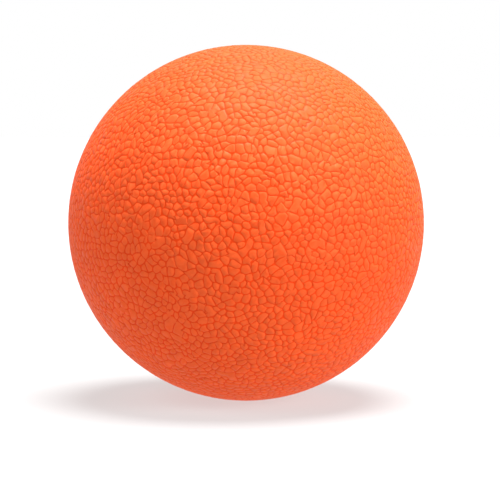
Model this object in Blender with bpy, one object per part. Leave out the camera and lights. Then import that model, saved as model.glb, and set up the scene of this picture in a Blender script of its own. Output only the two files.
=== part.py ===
"""Round massage ball: a firm core ball, keyed inside two cover halves that meet at a bonded seam.

Metres, +Z up, origin at the centre of the ball. The seam between the halves lies in the XZ plane.
The small flat at the bottom, where the sprue is trimmed off at the seam, is what the ball rests on.
"""

import math

import bmesh
import bpy
from mathutils import Vector

MM = 0.001

# Ball, measured over the tops of its grain
BALL_DIAMETER = 63.0 * MM
TRIM_FLAT_DIAMETER = 8.0 * MM
BOND_GAP = 0.3 * MM

# Tongue on the front half, which seats in a groove in the rear half
TONGUE_INSET = 1.6 * MM
TONGUE_WIDTH = 1.6 * MM
TONGUE_HEIGHT = 1.8 * MM
TONGUE_LEAD_IN = 0.3 * MM
TONGUE_ROOT = 1.0 * MM
TONGUE_BACKING = 0.8 * MM

# Pips that centre the core in the cover and keep it from turning there
PIP_BASE_DIAMETER = 7.0 * MM
PIP_TIP_DIAMETER = 5.0 * MM
PIP_HEIGHT = 1.8 * MM
PIP_TIP_ROUNDING = 0.6 * MM

# Points nearer than this are one point, and edges sharper than this stay crisp
WELD_DISTANCE = 0.001 * MM
CRISP_ANGLE = math.radians(30)

# Facets in a full turn, and along the outlines that are turned
BALL_TURN_STEPS = 64
BALL_ARC_STEPS = 32
CORE_PATCH_TURN_STEPS = 32
CORE_PATCH_RING_STEPS = 5
PIP_ROUNDING_STEPS = 2

# Colour (linear RGB), roughness and metallic value of each material
COVER_ORANGE = ((0.90, 0.100, 0.022), 0.5, 0.0)
CORE_GREY = ((0.060, 0.058, 0.056), 0.7, 0.0)

# Sizes that follow from those above
BALL_RADIUS = BALL_DIAMETER / 2
TRIM_FLAT_RADIUS = TRIM_FLAT_DIAMETER / 2
TONGUE_OUTER_RADIUS = BALL_RADIUS - TONGUE_INSET
TONGUE_INNER_RADIUS = TONGUE_OUTER_RADIUS - TONGUE_WIDTH
SOCKET_RADIUS = TONGUE_INNER_RADIUS - BOND_GAP - TONGUE_BACKING
CORE_RADIUS = SOCKET_RADIUS - BOND_GAP - PIP_HEIGHT

ACROSS = Vector((1.0, 0.0, 0.0))
TO_REAR = Vector((0.0, 1.0, 0.0))
TO_FRONT = -TO_REAR
UP = Vector((0.0, 0.0, 1.0))
PIP_DIRECTIONS = [sign * axis for axis in (ACROSS, TO_REAR, UP) for sign in (1, -1)]


def clear_scene():
    for obj in list(bpy.data.objects):
        bpy.data.objects.remove(obj)


def make_material(name, finish):
    colour, roughness, metallic = finish
    material = bpy.data.materials.new(name)
    material.use_nodes = True
    shader = material.node_tree.nodes["Principled BSDF"]
    shader.inputs["Base Color"].default_value = (*colour, 1.0)
    shader.inputs["Roughness"].default_value = roughness
    shader.inputs["Metallic"].default_value = metallic
    return material


def arc(centre, radius, start, end, steps):
    """Points (distance from the axis, height) on an arc, with angles counted from straight up."""
    angles = [start + (end - start) * step / steps for step in range(steps + 1)]
    return [(centre[0] + radius * math.sin(a), centre[1] + radius * math.cos(a)) for a in angles]


def turned(profile, steps, sweep=2 * math.pi, closed_profile=False):
    """A bmesh turned about Z from points (distance from the axis, height)."""
    shape = bmesh.new()
    points = [shape.verts.new((distance, 0.0, height)) for distance, height in profile]
    edges = [shape.edges.new(pair) for pair in zip(points, points[1:])]
    if closed_profile:
        edges.append(shape.edges.new((points[-1], points[0])))
    bmesh.ops.spin(shape, geom=points + edges, axis=UP, cent=(0, 0, 0), angle=sweep, steps=steps)
    bmesh.ops.remove_doubles(shape, verts=shape.verts, dist=WELD_DISTANCE)
    bmesh.ops.recalc_face_normals(shape, faces=shape.faces)
    return shape


def point_along(shape, direction):
    """Swings a shape from +Z to another direction."""
    shape.transform(UP.rotation_difference(direction).to_matrix().to_4x4())
    return shape


def make_object(name, shape):
    mesh = bpy.data.meshes.new(name)
    shape.to_mesh(mesh)
    shape.free()
    mesh.shade_smooth()
    mesh.set_sharp_from_angle(angle=CRISP_ANGLE)
    obj = bpy.data.objects.new(name, mesh)
    bpy.context.scene.collection.objects.link(obj)
    return obj


def make_tool(name, shape):
    """An object that only cuts or joins, and isn't a piece of the ball."""
    tool = make_object(name, shape)
    tool.hide_render = True
    tool.display_type = "WIRE"
    return tool


def combine(obj, tool, operation):
    modifier = obj.modifiers.new(f"{operation.lower()} {tool.name}", "BOOLEAN")
    modifier.operation = operation
    modifier.solver = "EXACT"
    modifier.object = tool


def half_ball_shape(side):
    """One half of the ball with its trim flat, turned from the seam and closed at its seam face."""
    rim_angle = math.pi - math.asin(TRIM_FLAT_RADIUS / BALL_RADIUS)
    upper = arc((0, 0), BALL_RADIUS, 0.0, math.pi / 2, BALL_ARC_STEPS // 2)
    lower = arc((0, 0), BALL_RADIUS, math.pi / 2, rim_angle, BALL_ARC_STEPS // 2)
    outline = [*upper, *lower[1:]]
    flat_centre = (0.0, outline[-1][1])
    shape = turned([*outline, flat_centre], BALL_TURN_STEPS // 2, sweep=math.copysign(math.pi, side.y))
    seam = [edge for edge in shape.edges if edge.is_boundary]
    bmesh.ops.edgeloop_fill(shape, edges=seam)
    bmesh.ops.recalc_face_normals(shape, faces=shape.faces)
    for point in {point for edge in seam for point in edge.verts}:
        point.co.y = side.y * BOND_GAP / 2
    return shape


def tongue_shape(clearance):
    """The tongue's ring, or with a clearance the room that its groove leaves for it."""
    inner = TONGUE_INNER_RADIUS - clearance
    outer = TONGUE_OUTER_RADIUS + clearance
    root = -BOND_GAP / 2 - TONGUE_ROOT
    tip = BOND_GAP / 2 + TONGUE_HEIGHT + clearance
    shoulder = tip - TONGUE_LEAD_IN
    section = [
        (inner, root),
        (inner, shoulder),
        (inner + TONGUE_LEAD_IN, tip),
        (outer - TONGUE_LEAD_IN, tip),
        (outer, shoulder),
        (outer, root),
    ]
    return point_along(turned(section, BALL_TURN_STEPS, closed_profile=True), TO_REAR)


def square_reach(angle):
    """How far a square of half-width 1 reaches from its middle, along an angle."""
    return 1 / max(abs(math.sin(angle)), abs(math.cos(angle)))


def core_patch(clearance):
    """Rings of points on one sixth of the core, from its square edge in to a pip and up to its tip."""
    radius = CORE_RADIUS + clearance
    base = PIP_BASE_DIAMETER / 2 + clearance
    tip = PIP_TIP_DIAMETER / 2 + clearance
    foot_reach = base / math.sqrt(radius**2 - base**2)
    angles = [2 * math.pi * step / CORE_PATCH_TURN_STEPS for step in range(CORE_PATCH_TURN_STEPS)]
    rings = []
    for step in range(CORE_PATCH_RING_STEPS + 1):
        inward = step / CORE_PATCH_RING_STEPS
        reaches = [square_reach(a) * (1 - inward) + foot_reach * inward for a in angles]
        ways = [Vector((r * math.sin(a), r * math.cos(a), 1.0)) for r, a in zip(reaches, angles)]
        rings.append([radius * way.normalized() for way in ways])
    corner = (tip - PIP_TIP_ROUNDING, radius + PIP_HEIGHT - PIP_TIP_ROUNDING)
    for distance, height in arc(corner, PIP_TIP_ROUNDING, math.pi / 2, 0.0, PIP_ROUNDING_STEPS):
        rings.append([Vector((distance * math.sin(a), distance * math.cos(a), height)) for a in angles])
    return rings


def core_shape(clearance):
    """The core with its pips, or with a clearance the room that the cover leaves for them."""
    shape = bmesh.new()
    for direction in PIP_DIRECTIONS:
        swing = UP.rotation_difference(direction).to_matrix()
        rings = [[shape.verts.new(swing @ point) for point in ring] for ring in core_patch(clearance)]
        for outer, inner in zip(rings, rings[1:]):
            for here in range(CORE_PATCH_TURN_STEPS):
                shape.faces.new((outer[here - 1], outer[here], inner[here], inner[here - 1]))
        shape.faces.new(rings[-1])
    bmesh.ops.remove_doubles(shape, verts=shape.verts, dist=WELD_DISTANCE)
    bmesh.ops.recalc_face_normals(shape, faces=shape.faces)
    return shape


def make_core(material):
    core = make_object("core_ball", core_shape(clearance=0.0))
    core.data.materials.append(material)


def make_cover(material):
    """The two cover halves, joined by tongue and groove, with the core's room inside them."""
    core_room = make_tool("core_room", core_shape(BOND_GAP))

    front = make_object("front_cover_half", half_ball_shape(TO_FRONT))
    combine(front, make_tool("tongue", tongue_shape(clearance=0.0)), "UNION")
    combine(front, core_room, "DIFFERENCE")
    front.data.materials.append(material)

    rear = make_object("rear_cover_half", half_ball_shape(TO_REAR))
    combine(rear, make_tool("groove", tongue_shape(BOND_GAP)), "DIFFERENCE")
    combine(rear, core_room, "DIFFERENCE")
    rear.data.materials.append(material)


def main():
    clear_scene()
    make_core(make_material("core_rubber", CORE_GREY))
    make_cover(make_material("cover_elastomer", COVER_ORANGE))


main()
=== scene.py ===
import math

import bmesh
import bpy
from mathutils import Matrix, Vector


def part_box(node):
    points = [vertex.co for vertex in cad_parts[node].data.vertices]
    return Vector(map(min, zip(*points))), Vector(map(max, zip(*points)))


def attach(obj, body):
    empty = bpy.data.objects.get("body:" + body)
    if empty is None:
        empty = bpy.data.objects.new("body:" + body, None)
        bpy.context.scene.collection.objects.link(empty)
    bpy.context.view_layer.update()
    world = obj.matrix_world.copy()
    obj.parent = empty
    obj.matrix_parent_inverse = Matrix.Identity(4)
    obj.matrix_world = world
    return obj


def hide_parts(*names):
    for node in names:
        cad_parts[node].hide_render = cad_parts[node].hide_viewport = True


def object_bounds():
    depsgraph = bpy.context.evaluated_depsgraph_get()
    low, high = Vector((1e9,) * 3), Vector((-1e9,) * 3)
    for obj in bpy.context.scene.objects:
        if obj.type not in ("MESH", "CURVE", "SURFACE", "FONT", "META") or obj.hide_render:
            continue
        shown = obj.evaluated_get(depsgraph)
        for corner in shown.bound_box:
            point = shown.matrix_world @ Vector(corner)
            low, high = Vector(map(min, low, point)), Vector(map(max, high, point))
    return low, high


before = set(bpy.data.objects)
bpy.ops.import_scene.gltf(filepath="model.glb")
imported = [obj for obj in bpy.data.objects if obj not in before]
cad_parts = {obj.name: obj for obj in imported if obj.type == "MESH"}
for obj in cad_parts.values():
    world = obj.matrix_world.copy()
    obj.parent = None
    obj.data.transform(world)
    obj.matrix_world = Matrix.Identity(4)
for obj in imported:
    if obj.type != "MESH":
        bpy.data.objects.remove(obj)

cadLow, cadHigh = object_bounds()
ballRadius = (cadHigh.x - cadLow.x) / 2
floorHeight = cadLow.z
weldDistance = 0.000001  # points nearer than this are one
seamHalfGap = 0.000004  # half of what is left between the seam faces of the cover's halves
print(f"frame loaded: ball radius {ballRadius * 1000:.2f} mm, rests at {floorHeight * 1000:.2f} mm")


# node helpers: a key in inputs is a socket's name or its number
def addNode(tree, kind, inputs=None, **settings):
    node = tree.nodes.new(kind)
    for name, value in settings.items():
        setattr(node, name, value)
    for key, value in (inputs or {}).items():
        if isinstance(value, bpy.types.NodeSocket):
            tree.links.new(value, node.inputs[key])
        else:
            node.inputs[key].default_value = value
    return node


def number(tree, operation, *values):
    return addNode(tree, "ShaderNodeMath", dict(enumerate(values)), operation=operation).outputs[0]


def vector(tree, operation, *values):
    node = addNode(tree, "ShaderNodeVectorMath", dict(enumerate(values)), operation=operation)
    return node.outputs["Value" if operation in ("LENGTH", "DOT_PRODUCT") else "Vector"]


def scaled(tree, direction, factor):
    node = addNode(tree, "ShaderNodeVectorMath", {0: direction, "Scale": factor}, operation="SCALE")
    return node.outputs["Vector"]


def remapped(tree, value, lowIn, highIn, lowOut, highOut, interpolation="LINEAR"):
    inputs = {0: value, 1: lowIn, 2: highIn, 3: lowOut, 4: highOut}
    return addNode(tree, "ShaderNodeMapRange", inputs, interpolation_type=interpolation).outputs[0]


# cover: two grained halves, lengths in metres
coverGrain = {
    "seed": 8,
    "topRadius": ballRadius - 0.00003,  # just inside the solids' own face
    "pebbleSpacing": 0.0011,  # no two pebbles' centres lie closer
    "pebbleDensity": 12000000.0,  # tries to place a centre, to a square metre
    "facetSpacing": 0.00032,  # the same for the corners of the facets that make up a pebble
    "facetDensity": 10200000.0,
    "joinShare": 0.05,  # how many of the centres join a neighbour, and how far off it can be
    "joinReach": 0.0012,
    "bendSize": 0.0010,  # small bends in the pebbles' outlines
    "bendAmount": 0.0003,
    "swirlSize": 0.0045,  # patches in which pebbles are drawn out one way
    "swirlAmount": 0.0014,
    "outlineSmoothing": 2,  # rounds, for the pebbles' outlines and then for the rims of their tops
    "rimSmoothing": 1,
    "grooveHalfWidth": 0.00014,
    "grooveDepth": 0.00015,
    "fadeSize": 0.0010,  # grooves fade out in a few places of about this size
    "fadeStart": 0.18,
    "fadeEnd": 0.36,
    "riseSpread": 0.000015,  # how much pebbles differ in height
    "domeShare": 0.12,  # how far a pebble's rim is below its middle, as a share of the groove's depth
}


def pebbleGrainTree():
    tree = bpy.data.node_groups.new("pebbleGrain", "GeometryNodeTree")
    tree.interface.new_socket(name="half", in_out="INPUT", socket_type="NodeSocketGeometry")
    tree.interface.new_socket(name="finish", in_out="INPUT", socket_type="NodeSocketMaterial")
    for name, value in coverGrain.items():
        kind = "NodeSocketInt" if isinstance(value, int) else "NodeSocketFloat"
        tree.interface.new_socket(name=name, in_out="INPUT", socket_type=kind)
    tree.interface.new_socket(name="cover", in_out="OUTPUT", socket_type="NodeSocketGeometry")
    given = addNode(tree, "NodeGroupInput").outputs
    position = addNode(tree, "GeometryNodeInputPosition").outputs[0]
    index = addNode(tree, "GeometryNodeInputIndex").outputs[0]
    oneHalf = 0.5
    ballSubdivisions = 6  # of the plain ball that points are scattered on
    ball = {"Radius": given["topRadius"], "Subdivisions": ballSubdivisions}
    ball = addNode(tree, "GeometryNodeMeshIcoSphere", ball).outputs["Mesh"]

    # what each draw adds to the seed, for scattered points and for random values
    facetDraw, pebbleDraw = 0.0, 1.0
    labelDraw, asideDraws, joinDraw = 0.0, (2.0, 3.0, 4.0), 5.0

    def placed(geometry, place, radius, selection=True):
        onBall = scaled(tree, vector(tree, "NORMALIZE", place), radius)
        inputs = {"Geometry": geometry, "Selection": selection, "Position": onBall}
        return addNode(tree, "GeometryNodeSetPosition", inputs).outputs[0]

    def stored(geometry, name, value, domain, kind):
        inputs = {"Geometry": geometry, "Name": name, "Value": value}
        settings = {"domain": domain, "data_type": kind}
        return addNode(tree, "GeometryNodeStoreNamedAttribute", inputs, **settings).outputs[0]

    def recalled(name, kind):
        return addNode(tree, "GeometryNodeInputNamedAttribute", {"Name": name}, data_type=kind).outputs[0]

    def onDomain(value, kind, domain):
        settings = {"data_type": kind, "domain": domain}
        return addNode(tree, "GeometryNodeFieldOnDomain", {0: value}, **settings).outputs[0]

    def smoothNoise(size):
        inputs = {"Vector": position, "Scale": number(tree, "DIVIDE", 1.0, given[size]), "Detail": 0.0}
        return addNode(tree, "ShaderNodeTexNoise", inputs).outputs

    def swing(kind):
        noiseMiddle = (oneHalf, oneHalf, oneHalf)
        centred = vector(tree, "SUBTRACT", smoothNoise(kind + "Size")["Color"], noiseMiddle)
        return scaled(tree, centred, given[kind + "Amount"])

    def scattered(kind, draw):
        inputs = {"Mesh": ball, "Seed": number(tree, "ADD", given["seed"], draw)}
        inputs.update({"Distance Min": given[kind + "Spacing"], "Density Max": given[kind + "Density"]})
        points = addNode(tree, "GeometryNodeDistributePointsOnFaces", inputs, distribute_method="POISSON")
        return placed(points.outputs[0], position, given["topRadius"])

    def blurred(value, rounds, weight):
        inputs = {"Value": value, "Iterations": given[rounds], "Weight": weight}
        return addNode(tree, "GeometryNodeBlurAttribute", inputs, data_type="FLOAT_VECTOR").outputs[0]

    def drawn(identity, draw):
        inputs = {2: 0.0, 3: 1.0, "ID": identity}  # from 0 to 1
        inputs["Seed"] = number(tree, "ADD", given["seed"], draw)
        return addNode(tree, "FunctionNodeRandomValue", inputs).outputs[1]

    def nearestTo(points, place):
        inputs = {"Geometry": points, "Sample Position": place}
        return addNode(tree, "GeometryNodeSampleNearest", inputs, domain="POINT").outputs["Index"]

    # centres of the pebbles, of which a few take a neighbour's label and make one long pebble with it
    centres = scattered("pebble", pebbleDraw)
    aside = [number(tree, "SUBTRACT", drawn(index, draw), oneHalf) for draw in asideDraws]
    aside = addNode(tree, "ShaderNodeCombineXYZ", dict(enumerate(aside))).outputs[0]
    joins = number(tree, "LESS_THAN", drawn(index, joinDraw), given["joinShare"])
    reach = number(tree, "MULTIPLY", joins, given["joinReach"])
    aside = scaled(tree, vector(tree, "NORMALIZE", aside), reach)
    partner = nearestTo(centres, vector(tree, "ADD", position, aside))
    centres = stored(centres, "label", drawn(partner, labelDraw), "POINT", "FLOAT")

    # a facet belongs to the pebble whose centre is nearest, by a bent measure
    bent = vector(tree, "ADD", position, vector(tree, "ADD", swing("bend"), swing("swirl")))
    owner = {"Geometry": centres, "Value": recalled("label", "FLOAT"), "Index": nearestTo(centres, bent)}
    owner = addNode(tree, "GeometryNodeSampleIndex", owner, data_type="FLOAT", domain="POINT").outputs[0]
    pebble = recalled("pebble", "FLOAT")
    square = number(tree, "MULTIPLY", pebble, pebble)
    spread = number(tree, "SUBTRACT", onDomain(square, "FLOAT", "FACE"), square)
    leastSpread = 0.000001
    between = number(tree, "GREATER_THAN", spread, leastSpread)  # at an edge or corner of two pebbles
    within = number(tree, "SUBTRACT", 1.0, between)

    def facetsThrough(points):
        hull = addNode(tree, "GeometryNodeConvexHull", {"Geometry": points}).outputs[0]
        return stored(hull, "pebble", owner, "FACE", "FLOAT")

    def smoothedAlong(geometry, edges, rounds):
        rest = {"Geometry": geometry, "Selection": number(tree, "SUBTRACT", 1.0, edges)}
        lines = addNode(tree, "GeometryNodeDeleteGeometry", rest, domain="EDGE", mode="EDGE_FACE").outputs[0]
        sample = {"Geometry": lines, "Value": blurred(position, rounds, 1.0), "Index": index}
        settings = {"data_type": "FLOAT_VECTOR", "domain": "POINT"}
        return addNode(tree, "GeometryNodeSampleIndex", sample, **settings).outputs[0]

    # small facets all over the ball, laid anew each time that the pebbles' outlines are smoothed
    layings = 2
    facets = facetsThrough(scattered("facet", facetDraw))
    for laying in range(layings):
        facets = placed(facets, smoothedAlong(facets, between, "outlineSmoothing"), given["topRadius"])
        facets = placed(facets, blurred(position, "outlineSmoothing", within), given["topRadius"])
        facets = facetsThrough(facets)

    # each pebble by itself
    area = addNode(tree, "GeometryNodeInputMeshFaceArea").outputs[0]
    facets = stored(facets, "reach", number(tree, "SQRT", area), "FACE", "FLOAT")
    facets = stored(facets, "middle", position, "FACE", "FLOAT_VECTOR")
    facets = stored(facets, "home", position, "POINT", "FLOAT_VECTOR")
    facets = stored(facets, "homeDrop", pebble, "POINT", "FLOAT")
    fade = smoothNoise("fadeSize")["Fac"]
    fade = remapped(tree, fade, given["fadeStart"], given["fadeEnd"], 0.0, 1.0, "SMOOTHSTEP")
    facets = stored(facets, "share", fade, "POINT", "FLOAT")
    facets = addNode(tree, "GeometryNodeSplitEdges", {"Mesh": facets, "Selection": between}).outputs[0]
    depth = number(tree, "MULTIPLY", given["grooveDepth"], recalled("share", "FLOAT"))

    def lowered(drop, share):
        drop = number(tree, "MULTIPLY", drop, given["riseSpread"])
        return number(tree, "SUBTRACT", given["topRadius"], number(tree, "MULTIPLY_ADD", depth, share, drop))

    # sides of the pebble, and the way in from each of them
    around = addNode(tree, "GeometryNodeInputMeshVertexNeighbors").outputs
    spare = number(tree, "SUBTRACT", around["Vertex Count"], around["Face Count"])  # 1 on the rim, or else 0
    isRim = number(tree, "GREATER_THAN", spare, oneHalf)
    faceCount = addNode(tree, "GeometryNodeInputMeshEdgeNeighbors").outputs[0]  # 1 on the rim, or else 2
    isSide = number(tree, "LESS_THAN", faceCount, 1.0 + oneHalf)
    ends = addNode(tree, "GeometryNodeInputMeshEdgeVertices").outputs
    halfway = scaled(tree, vector(tree, "ADD", ends["Position 1"], ends["Position 2"]), oneHalf)
    along = vector(tree, "SUBTRACT", ends["Position 2"], ends["Position 1"])
    across = vector(tree, "NORMALIZE", vector(tree, "CROSS_PRODUCT", halfway, along))
    inward = vector(tree, "SUBTRACT", recalled("middle", "FLOAT_VECTOR"), halfway)
    facing = vector(tree, "DOT_PRODUCT", across, inward)
    across = scaled(tree, across, number(tree, "MULTIPLY", number(tree, "SIGN", facing), isSide))

    # how far a side can move: less where its facet has other sides or lies in a narrow place
    freeRoom, roomLost, leastRoom = 2.4, 0.6, 0.5  # times the way from a side to its facet's middle
    facetSides = 3.0
    openSides = onDomain(faceCount, "FLOAT", "FACE")
    openSides = number(tree, "MULTIPLY_ADD", openSides, -facetSides, 2 * facetSides)
    nearlyAll = 0.9  # of a facet's corners lie on the rim
    narrow = number(tree, "GREATER_THAN", onDomain(spare, "FLOAT", "FACE"), nearlyAll)
    limits = number(tree, "ADD", openSides, narrow)
    room = number(tree, "MAXIMUM", number(tree, "MULTIPLY_ADD", limits, -roomLost, freeRoom), leastRoom)
    room = number(tree, "MULTIPLY", number(tree, "ABSOLUTE", facing), room)
    width = number(tree, "MINIMUM", given["grooveHalfWidth"], room)
    width = number(tree, "MULTIPLY", width, isSide)

    # the pebble's top: its outline drawn in by half a groove
    perSide = number(tree, "MULTIPLY", around["Vertex Count"], oneHalf)  # two of a corner's edges are sides
    width = number(tree, "MULTIPLY", onDomain(width, "FLOAT", "EDGE"), perSide)
    across = scaled(tree, onDomain(across, "FLOAT_VECTOR", "EDGE"), perSide)
    sharpest = 0.4  # limits the inset at pointed corners
    inset = number(tree, "DIVIDE", width, number(tree, "MAXIMUM", vector(tree, "LENGTH", across), sharpest))
    inset = number(tree, "MULTIPLY", number(tree, "MINIMUM", inset, recalled("reach", "FLOAT")), isRim)
    drawnIn = vector(tree, "ADD", position, scaled(tree, vector(tree, "NORMALIZE", across), inset))
    topLevel = lowered(pebble, number(tree, "MULTIPLY", isRim, given["domeShare"]))
    tops = placed(facets, drawnIn, topLevel)
    tops = placed(tops, smoothedAlong(tops, isSide, "rimSmoothing"), topLevel)

    # where that turned a facet over or a corner left its own pebble, it goes back step by step
    leastUpright = 0.6  # a facet of the tops that leans more counts as turned over
    home = recalled("home", "FLOAT_VECTOR")
    normal = addNode(tree, "GeometryNodeInputNormal").outputs[0]
    upright = vector(tree, "DOT_PRODUCT", normal, vector(tree, "NORMALIZE", position))
    fallen = onDomain(number(tree, "LESS_THAN", upright, leastUpright), "FLOAT", "FACE")
    fallen = number(tree, "GREATER_THAN", fallen, 0.0)
    moved = vector(tree, "SUBTRACT", position, home)
    outside = number(tree, "LESS_THAN", vector(tree, "DOT_PRODUCT", moved, across), 0.0)
    wrong = number(tree, "MAXIMUM", fallen, number(tree, "MULTIPLY", outside, isRim))
    sharesKept = (0.6, 0.5, 0.4, 0.3)
    for share in sharesKept:
        tops = placed(tops, vector(tree, "ADD", home, scaled(tree, moved, share)), topLevel, wrong)

    # the walls, down to the bottom of the groove where the pebbles meet
    walls = {"Mesh": tops, "Selection": isSide, "Offset Scale": 0.0}
    walls = addNode(tree, "GeometryNodeExtrudeMesh", walls, mode="EDGES").outputs
    grain = placed(walls["Mesh"], home, lowered(recalled("homeDrop", "FLOAT"), 1.0), walls["Top"])
    welded = {"Geometry": grain, "Selection": walls["Top"], "Distance": weldDistance}
    grain = addNode(tree, "GeometryNodeMergeByDistance", welded).outputs[0]

    # the half keeps its own seam and inside, and takes the grain as its outside
    trimmed = addNode(tree, "GeometryNodeMeshBoolean", operation="INTERSECT", solver="MANIFOLD")
    tree.links.new(given["half"], trimmed.inputs["Mesh 2"])
    tree.links.new(grain, trimmed.inputs["Mesh 2"])
    cover = addNode(tree, "GeometryNodeRealizeInstances", {"Geometry": trimmed.outputs[0]}).outputs[0]
    finish = {"Geometry": cover, "Material": given["finish"]}
    cover = addNode(tree, "GeometryNodeSetMaterial", finish).outputs[0]
    addNode(tree, "NodeGroupOutput", {"cover": cover})
    return tree


def dropAttributes(mesh, names):
    for name in names:
        if name in mesh.attributes:
            mesh.attributes.remove(mesh.attributes[name])


# the solid's half, with its seam face moved up to the other half's so that no gap shows
def closedUpHalf(nodeName):
    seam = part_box("rear_cover_half")[0].y
    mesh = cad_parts[nodeName].data.copy()
    mesh.materials.clear()
    work = bmesh.new()
    work.from_mesh(mesh)
    bmesh.ops.remove_doubles(work, verts=work.verts, dist=weldDistance)
    for point in work.verts:
        if abs(abs(point.co.y) - seam) < seamHalfGap:
            point.co.y = math.copysign(seamHalfGap, point.co.y)
    work.to_mesh(mesh)
    work.free()
    dropAttributes(mesh, ("custom_normal", "sharp_edge"))
    return mesh


# crisp along the seam, round the trimmed flat and inside, and smooth all over the grain
def creaseEdges(mesh):
    mesh.shade_smooth()
    mesh.set_sharp_from_angle(angle=coverFinish["crispAngle"])
    grainFloor = coverGrain["topRadius"] - coverGrain["grooveDepth"] - coverGrain["riseSpread"]
    for edge in mesh.edges:
        ends = [mesh.vertices[corner].co for corner in edge.vertices]
        inGrain = max(end.length for end in ends) > grainFloor - weldDistance
        onSeam = max(abs(end.y) for end in ends) < seamHalfGap + weldDistance
        onFlat = max(end.z for end in ends) < floorHeight + weldDistance
        edge.use_edge_sharp = onSeam or onFlat or (edge.use_edge_sharp and not inGrain)


def makeCoverHalf(name, nodeName, tree, material):
    piece = bpy.data.objects.new(name, closedUpHalf(nodeName))
    bpy.context.scene.collection.objects.link(piece)
    modifier = piece.modifiers.new("pebbleGrain", "NODES")
    modifier.node_group = tree
    values = {**coverGrain, "finish": material}
    for socket in tree.interface.items_tree:
        if socket.name in values:
            modifier[socket.identifier] = values[socket.name]
    shaped = piece.evaluated_get(bpy.context.evaluated_depsgraph_get())
    mesh = bpy.data.meshes.new_from_object(shaped)
    piece.modifiers.clear()
    piece.data = mesh
    mesh.name = name
    dropAttributes(mesh, ("pebble", "reach", "middle", "home", "homeDrop", "share"))
    creaseEdges(mesh)
    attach(piece, "root")
    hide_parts(nodeName)
    mesh.calc_loop_triangles()
    print(f"{name}: {len(mesh.polygons)} faces, {len(mesh.loop_triangles)} triangles")


coverFinish = {
    "top": (0.05, (0.94, 0.098, 0.0155, 1.0)),  # shares of the groove's depth, and the colour there, with painted light below the top
    # painted highlight: the rim is paler, as if its edge caught the light
    "rim": (0.18, (0.96, 0.121, 0.025, 1.0)),
    # painted shade: the groove is darker, as if shade fell down in it
    "groove": (0.50, (0.92, 0.063, 0.0038, 1.0)),
    "mottle": 0.06,  # how much paler or darker patches are
    "mottleScale": 420.0,
    "mottleDetail": 3.0,
    "specular": 0.12,
    "roughness": (0.50, 0.64),
    "fineScale": 5200.0,  # fine roughness of the moulded rubber
    "fineDetail": 2.0,
    "fineHeight": 0.000012,
    "crispAngle": math.radians(30),  # edges inside that turn more than this are crisp
}


def coverMaterial():
    material = bpy.data.materials.new("grainedOrangeRubber")
    material.use_nodes = True
    tree = material.node_tree
    shader = tree.nodes["Principled BSDF"]
    where = addNode(tree, "ShaderNodeTexCoord").outputs["Object"]
    tops = coverGrain["topRadius"]
    bottoms = tops - coverGrain["grooveDepth"]
    # colour by depth below the tops: a painted highlight on the rims and painted shade down in the grooves
    sunk = remapped(tree, vector(tree, "LENGTH", where), bottoms, tops, 1.0, 0.0)
    height = addNode(tree, "ShaderNodeSeparateXYZ", {0: where}).outputs["Z"]
    aboveFlat = number(tree, "GREATER_THAN", height, floorHeight + weldDistance)
    sunk = number(tree, "MULTIPLY", sunk, aboveFlat)
    ramp = addNode(tree, "ShaderNodeValToRGB", {"Fac": sunk})
    stops = ramp.color_ramp.elements
    for name in ("top", "rim", "groove"):
        place, colour = coverFinish[name]
        stops.new(place).color = colour
    stops.remove(stops[0])
    stops.remove(stops[len(stops) - 1])
    mottle = {"Vector": where, "Scale": coverFinish["mottleScale"], "Detail": coverFinish["mottleDetail"]}
    mottle = addNode(tree, "ShaderNodeTexNoise", mottle).outputs["Fac"]
    darkest, palest = 0.3, 0.7  # nearly all of the noise lies between them
    swing = coverFinish["mottle"]
    shade = remapped(tree, mottle, darkest, palest, 1.0 - swing, 1.0 + swing)
    tree.links.new(scaled(tree, ramp.outputs[0], shade), shader.inputs["Base Color"])
    roughness = remapped(tree, mottle, darkest, palest, *coverFinish["roughness"])
    tree.links.new(roughness, shader.inputs["Roughness"])
    shader.inputs["Specular IOR Level"].default_value = coverFinish["specular"]
    fine = {"Vector": where, "Scale": coverFinish["fineScale"], "Detail": coverFinish["fineDetail"]}
    fine = addNode(tree, "ShaderNodeTexNoise", fine).outputs["Fac"]
    bump = {"Height": fine, "Distance": coverFinish["fineHeight"], "Strength": 1.0}
    tree.links.new(addNode(tree, "ShaderNodeBump", bump).outputs[0], shader.inputs["Normal"])
    return material


# core: the solid itself, hidden inside the cover
coreFinish = {
    "dark": (0.045, 0.043, 0.042, 1.0),
    "pale": (0.078, 0.075, 0.072, 1.0),
    "cloudScale": 260.0,
    "cloudDetail": 4.0,
    "roughness": 0.7,
}


def coreMaterial():
    material = bpy.data.materials.new("coreRubber")
    material.use_nodes = True
    tree = material.node_tree
    shader = tree.nodes["Principled BSDF"]
    where = addNode(tree, "ShaderNodeTexCoord").outputs["Object"]
    cloud = {"Vector": where, "Scale": coreFinish["cloudScale"], "Detail": coreFinish["cloudDetail"]}
    cloud = addNode(tree, "ShaderNodeTexNoise", cloud).outputs["Fac"]
    colour = {0: cloud, 6: coreFinish["dark"], 7: coreFinish["pale"]}  # the sockets of a colour mix
    colour = addNode(tree, "ShaderNodeMix", colour, data_type="RGBA").outputs[2]
    tree.links.new(colour, shader.inputs["Base Color"])
    shader.inputs["Roughness"].default_value = coreFinish["roughness"]
    return material


grainTree = pebbleGrainTree()
orangeRubber = coverMaterial()
makeCoverHalf("front_cover", "front_cover_half", grainTree, orangeRubber)
makeCoverHalf("rear_cover", "rear_cover_half", grainTree, orangeRubber)
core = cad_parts["core_ball"]
core.data.materials.clear()
core.data.materials.append(coreMaterial())
print("cover and core made")

# camera: the ball's place in the photograph, in its pixels
view = {
    "imageSize": 500.0,
    "ballCentre": (246.1, 223.0),
    "ballRadius": 178.2,
    "distance": 0.32,  # metres, along the view to the ball's centre
    "elevation": math.radians(4),
    "sensorWidth": 36.0,  # millimetres
    "nearest": 0.01,
    "farthest": 100.0,
}


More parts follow.
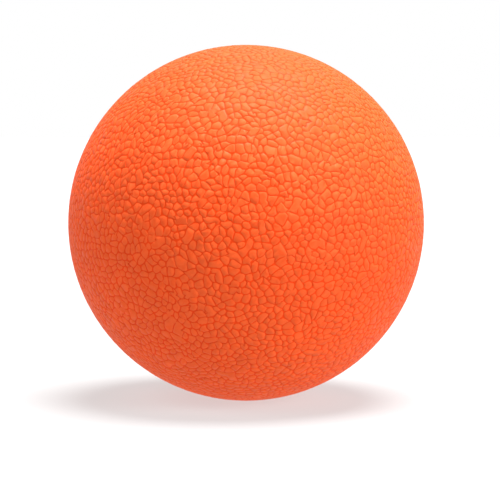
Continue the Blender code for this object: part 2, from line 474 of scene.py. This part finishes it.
def makeCamera():
    camera = bpy.data.objects.new("camera", bpy.data.cameras.new("camera"))
    bpy.context.scene.collection.objects.link(camera)
    back = Vector((0.0, -math.cos(view["elevation"]), math.sin(view["elevation"])))
    right = Vector((1.0, 0.0, 0.0))
    up = right.cross(-back)
    reach = math.tan(math.asin(ballRadius / view["distance"]))
    focal = view["ballRadius"] / reach  # in pixels
    camera.data.sensor_width = view["sensorWidth"]
    camera.data.lens = view["sensorWidth"] * focal / view["imageSize"]
    offRight = (view["ballCentre"][0] - view["imageSize"] / 2) / focal * view["distance"]
    offUp = (view["imageSize"] / 2 - view["ballCentre"][1]) / focal * view["distance"]
    camera.location = back * view["distance"] - right * offRight - up * offUp
    camera.rotation_euler = (-back).to_track_quat("-Z", "Y").to_euler()
    camera.data.clip_start = view["nearest"]
    camera.data.clip_end = view["farthest"]
    bpy.context.scene.camera = camera


makeCamera()
print("camera placed")

# stage: pale floor, white surroundings, a soft light overhead and weaker ones at both sides
stageLight = {
    "surround": 0.28,  # light on the ball from all round, where the camera sees plain white
    "keyStrength": 5.78,
    "keySpread": math.radians(34),
    "keyDirection": (0.148, 0.046, 0.988),
    "rightStrength": 2.12,
    "rightSpread": math.radians(30),
    "rightDirection": (0.806, -0.466, 0.364),
    "leftStrength": 0.76,
    "leftSpread": math.radians(30),
    "leftDirection": (-0.636, -0.321, 0.702),
    "floorColour": (0.58, 0.58, 0.58, 1.0),
    "floorGlow": 0.88,  # light on the ball from the floor
    "shadowShare": 0.45,  # how much of its shadow the floor shows, the rest being plain white
    "floorReach": 6.0,
}


def seenDirectly(tree):
    path = addNode(tree, "ShaderNodeLightPath").outputs
    seen = number(tree, "MAXIMUM", path["Is Camera Ray"], path["Is Glossy Ray"])
    return number(tree, "MAXIMUM", seen, path["Is Transmission Ray"])


def makeStage():
    floor = bpy.data.meshes.new("floor")
    reach = stageLight["floorReach"]
    corners = [(-reach, -reach), (reach, -reach), (reach, reach), (-reach, reach)]
    floor.from_pydata([(x, y, floorHeight) for x, y in corners], [], [(0, 1, 2, 3)])
    floorObject = bpy.data.objects.new("floor", floor)
    bpy.context.scene.collection.objects.link(floorObject)
    material = bpy.data.materials.new("paleFloor")
    material.use_nodes = True
    tree = material.node_tree
    shader = tree.nodes["Principled BSDF"]
    shader.inputs["Roughness"].default_value = 1.0
    shader.inputs["Specular IOR Level"].default_value = 0.0
    shader.inputs["Base Color"].default_value = stageLight["floorColour"]
    white = addNode(tree, "ShaderNodeEmission", {"Strength": 1.0}).outputs[0]
    seen = {0: stageLight["shadowShare"], 1: white, 2: shader.outputs[0]}
    seen = addNode(tree, "ShaderNodeMixShader", seen).outputs[0]
    glow = addNode(tree, "ShaderNodeEmission", {"Strength": stageLight["floorGlow"]}).outputs[0]
    mixed = {0: seenDirectly(tree), 1: glow, 2: seen}
    mixed = addNode(tree, "ShaderNodeMixShader", mixed).outputs[0]
    tree.links.new(mixed, tree.nodes["Material Output"].inputs["Surface"])
    floor.materials.append(material)

    world = bpy.data.worlds.new("surround")
    world.use_nodes = True
    bpy.context.scene.world = world
    tree = world.node_tree
    background = tree.nodes["Background"]
    background.inputs["Color"].default_value = (1.0, 1.0, 1.0, 1.0)
    strength = remapped(tree, seenDirectly(tree), 0.0, 1.0, stageLight["surround"], 1.0)
    tree.links.new(strength, background.inputs["Strength"])

    for name in ("key", "right", "left"):
        lamp = bpy.data.objects.new(name, bpy.data.lights.new(name, "SUN"))
        bpy.context.scene.collection.objects.link(lamp)
        lamp.data.energy = stageLight[name + "Strength"]
        lamp.data.angle = stageLight[name + "Spread"]
        towards = Vector(stageLight[name + "Direction"]).normalized()
        lamp.location = towards
        lamp.rotation_euler = towards.to_track_quat("Z", "Y").to_euler()


makeStage()
bpy.context.scene.view_settings.view_transform = "Standard"
print("stage lit")
